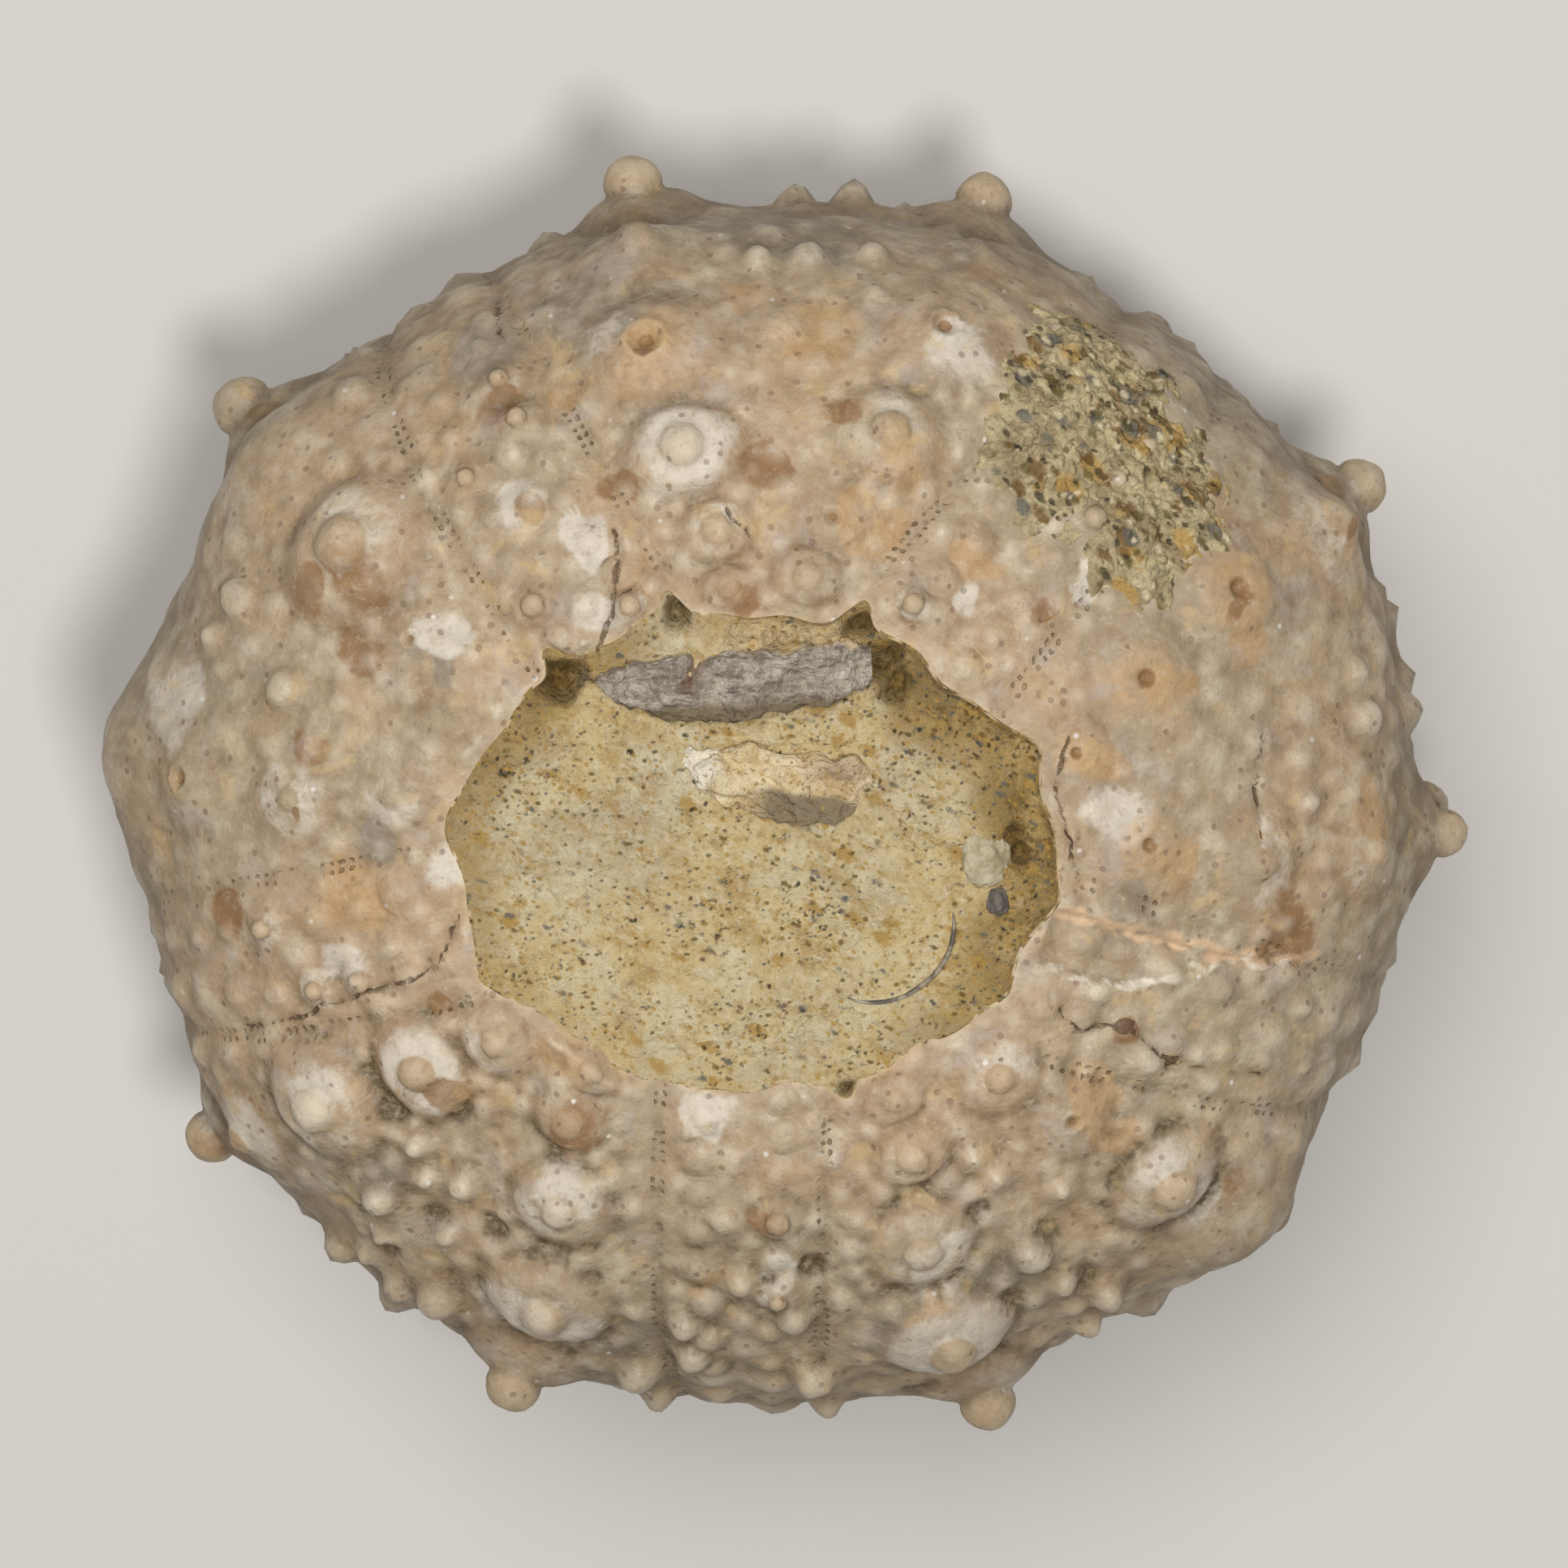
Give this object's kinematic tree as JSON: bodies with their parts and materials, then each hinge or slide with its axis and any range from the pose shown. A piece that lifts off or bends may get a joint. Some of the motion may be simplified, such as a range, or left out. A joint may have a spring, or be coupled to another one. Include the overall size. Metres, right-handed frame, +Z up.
{
  "type": "fossil sea urchin",
  "caption": "Fossil test of a regular sea urchin, knobbly with round-topped primary tubercles, mouth side up and filled with limestone that holds bits of jaw and shell.",
  "frame": {"origin": "middle of the worn flat on the domed top, which the specimen stands on", "axes": "+Z up out of the mouth, +X along the longer width, +Y along the shorter width"},
  "size_m": [0.0348, 0.0324, 0.0209],
  "materials": {
    "test_calcite": "worn, matt, slightly waxy calcite in beige and pinkish grey with ochre stains",
    "matrix_limestone": "matt sandy cream limestone with dark specks",
    "jaw_calcite": "smooth blue-grey fossil calcite",
    "plate_calcite": "broken cream calcite, grey beneath",
    "sliver_shell": "thin grey shell",
    "grey_grain_stone": "pale grey rounded grain",
    "dark_grain_stone": "dark grey rounded grain",
    "crust_sediment": "gritty sediment of cream, ochre and dark grains"
  },
  "bodies": {
    "root": {"test": "test_calcite", "matrix_plug": "matrix_limestone", "jaw_fragment": "jaw_calcite", "plate_fragment": "plate_calcite", "shell_sliver": "sliver_shell", "grey_grain": "grey_grain_stone", "dark_grain": "dark_grain_stone", "sediment_crust": "crust_sediment"}
  },
  "joints": []
}
